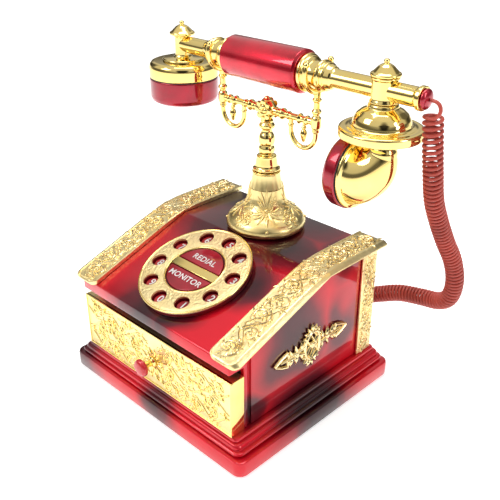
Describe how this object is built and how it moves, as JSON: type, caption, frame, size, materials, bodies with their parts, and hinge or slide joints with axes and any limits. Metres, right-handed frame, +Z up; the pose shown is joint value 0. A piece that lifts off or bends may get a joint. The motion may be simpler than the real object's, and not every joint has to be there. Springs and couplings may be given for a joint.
{
  "type": "telephone",
  "caption": "Vintage style desk telephone in red lacquer and gold: drawer base, push-button dial on a slope, pedestal cradle, spindle handset and curly cord.",
  "frame": {"origin": "middle of the plinth's footprint, in the table plane", "axes": "+Z up, -Y towards the drawer front, +X towards the mouthpiece end of the handset"},
  "size_m": [0.2204, 0.1637, 0.2179],
  "materials": {
    "red_lacquer": "glossy lacquer, patchy from bright red to dark maroon",
    "cord_red": "soft brick red cord jacket",
    "polished_gold": "electroplated gold on moulded plastic, mirror polish",
    "satin_gold": "electroplated pale gold, satin, with raised scrolls",
    "black_plastic": "moulded",
    "rubber": "soft rubber",
    "circuit_board": "solder mask",
    "spring_steel": "plated steel"
  },
  "bodies": {
    "phone_base": {"base_plinth": "red_lacquer", "upper_casing": "red_lacquer", "dial_bezel": "red_lacquer", "cord_lead_top": "cord_red", "cord_coil": "cord_red", "cord_lead_bottom": "cord_red", "pedestal_foot": "polished_gold", "pedestal_column": "polished_gold", "trim_band_left": "satin_gold", "trim_band_right": "satin_gold", "corner_strip_left": "satin_gold", "corner_strip_right": "satin_gold", "side_ornament_left": "satin_gold", "side_ornament_right": "satin_gold", "dial_ring": "satin_gold", "bottom_cover": "black_plastic", "inner_shelf": "black_plastic", "hook_switch": "black_plastic", "ringer": "black_plastic", "line_jack": "black_plastic", "base_felt": "rubber", "key_membrane": "rubber", "cord_grommet": "rubber", "main_board": "circuit_board"},
    "drawer": {"drawer_front": "satin_gold", "drawer_tray": "black_plastic", "drawer_knob": "red_lacquer"},
    "cradle": {"cradle_arms": "polished_gold", "cradle_fork_left": "polished_gold", "cradle_fork_right": "polished_gold", "hook_plunger": "spring_steel", "hook_spring": "spring_steel"},
    "handset": {"handset_grip": "red_lacquer", "earpiece_arm": "polished_gold", "mouthpiece_arm": "polished_gold", "earpiece_finial": "polished_gold", "mouthpiece_finial": "polished_gold", "earpiece_housing": "polished_gold", "earpiece_cap": "red_lacquer", "earpiece_speaker": "black_plastic", "mouthpiece_canopy": "polished_gold", "mouthpiece_elbow": "polished_gold", "mouthpiece_cap": "red_lacquer", "microphone": "black_plastic", "cord_end_cap": "red_lacquer"},
    "key_1": {"key_1": "red_lacquer"},
    "key_2": {"key_2": "red_lacquer"},
    "key_3": {"key_3": "red_lacquer"},
    "key_4": {"key_4": "red_lacquer"},
    "key_5": {"key_5": "red_lacquer"},
    "key_6": {"key_6": "red_lacquer"},
    "key_7": {"key_7": "red_lacquer"},
    "key_8": {"key_8": "red_lacquer"},
    "key_9": {"key_9": "red_lacquer"},
    "key_0": {"key_0": "red_lacquer"},
    "redial_button": {"redial_button": "red_lacquer"},
    "monitor_button": {"monitor_button": "red_lacquer"}
  },
  "joints": [
    {"name": "drawer_slide", "type": "slide", "parent": "phone_base", "child": "drawer", "axis": [0, -1, 0], "range_m": [0, 0.045]},
    {"name": "handset_lift", "type": "slide", "parent": "phone_base", "child": "handset", "axis": [0, 0, 1], "range_m": [0, 0.09]},
    {"name": "hook_rise", "type": "slide", "parent": "phone_base", "child": "cradle", "axis": [0, 0, 1], "range_m": [0, 0.003], "deforming": ["hook_spring"]},
    {"name": "press_1", "type": "slide", "parent": "phone_base", "child": "key_1", "axis": [0, 0.3325, -0.9431], "range_m": [0, 0.0012], "stiffness_N_per_m": 400},
    {"name": "press_2", "type": "slide", "parent": "phone_base", "child": "key_2", "axis": [0, 0.3325, -0.9431], "range_m": [0, 0.0012], "stiffness_N_per_m": 400},
    {"name": "press_3", "type": "slide", "parent": "phone_base", "child": "key_3", "axis": [0, 0.3325, -0.9431], "range_m": [0, 0.0012], "stiffness_N_per_m": 400},
    {"name": "press_4", "type": "slide", "parent": "phone_base", "child": "key_4", "axis": [0, 0.3325, -0.9431], "range_m": [0, 0.0012], "stiffness_N_per_m": 400},
    {"name": "press_5", "type": "slide", "parent": "phone_base", "child": "key_5", "axis": [0, 0.3325, -0.9431], "range_m": [0, 0.0012], "stiffness_N_per_m": 400},
    {"name": "press_6", "type": "slide", "parent": "phone_base", "child": "key_6", "axis": [0, 0.3325, -0.9431], "range_m": [0, 0.0012], "stiffness_N_per_m": 400},
    {"name": "press_7", "type": "slide", "parent": "phone_base", "child": "key_7", "axis": [0, 0.3325, -0.9431], "range_m": [0, 0.0012], "stiffness_N_per_m": 400},
    {"name": "press_8", "type": "slide", "parent": "phone_base", "child": "key_8", "axis": [0, 0.3325, -0.9431], "range_m": [0, 0.0012], "stiffness_N_per_m": 400},
    {"name": "press_9", "type": "slide", "parent": "phone_base", "child": "key_9", "axis": [0, 0.3325, -0.9431], "range_m": [0, 0.0012], "stiffness_N_per_m": 400},
    {"name": "press_0", "type": "slide", "parent": "phone_base", "child": "key_0", "axis": [0, 0.3325, -0.9431], "range_m": [0, 0.0012], "stiffness_N_per_m": 400},
    {"name": "press_redial", "type": "slide", "parent": "phone_base", "child": "redial_button", "axis": [0, 0.3325, -0.9431], "range_m": [0, 0.0012], "stiffness_N_per_m": 400},
    {"name": "press_monitor", "type": "slide", "parent": "phone_base", "child": "monitor_button", "axis": [0, 0.3325, -0.9431], "range_m": [0, 0.0012], "stiffness_N_per_m": 400}
  ],
  "couplings": [
    {"joint": "hook_rise", "follows": "handset_lift", "ratio": 0.033333}
  ]
}
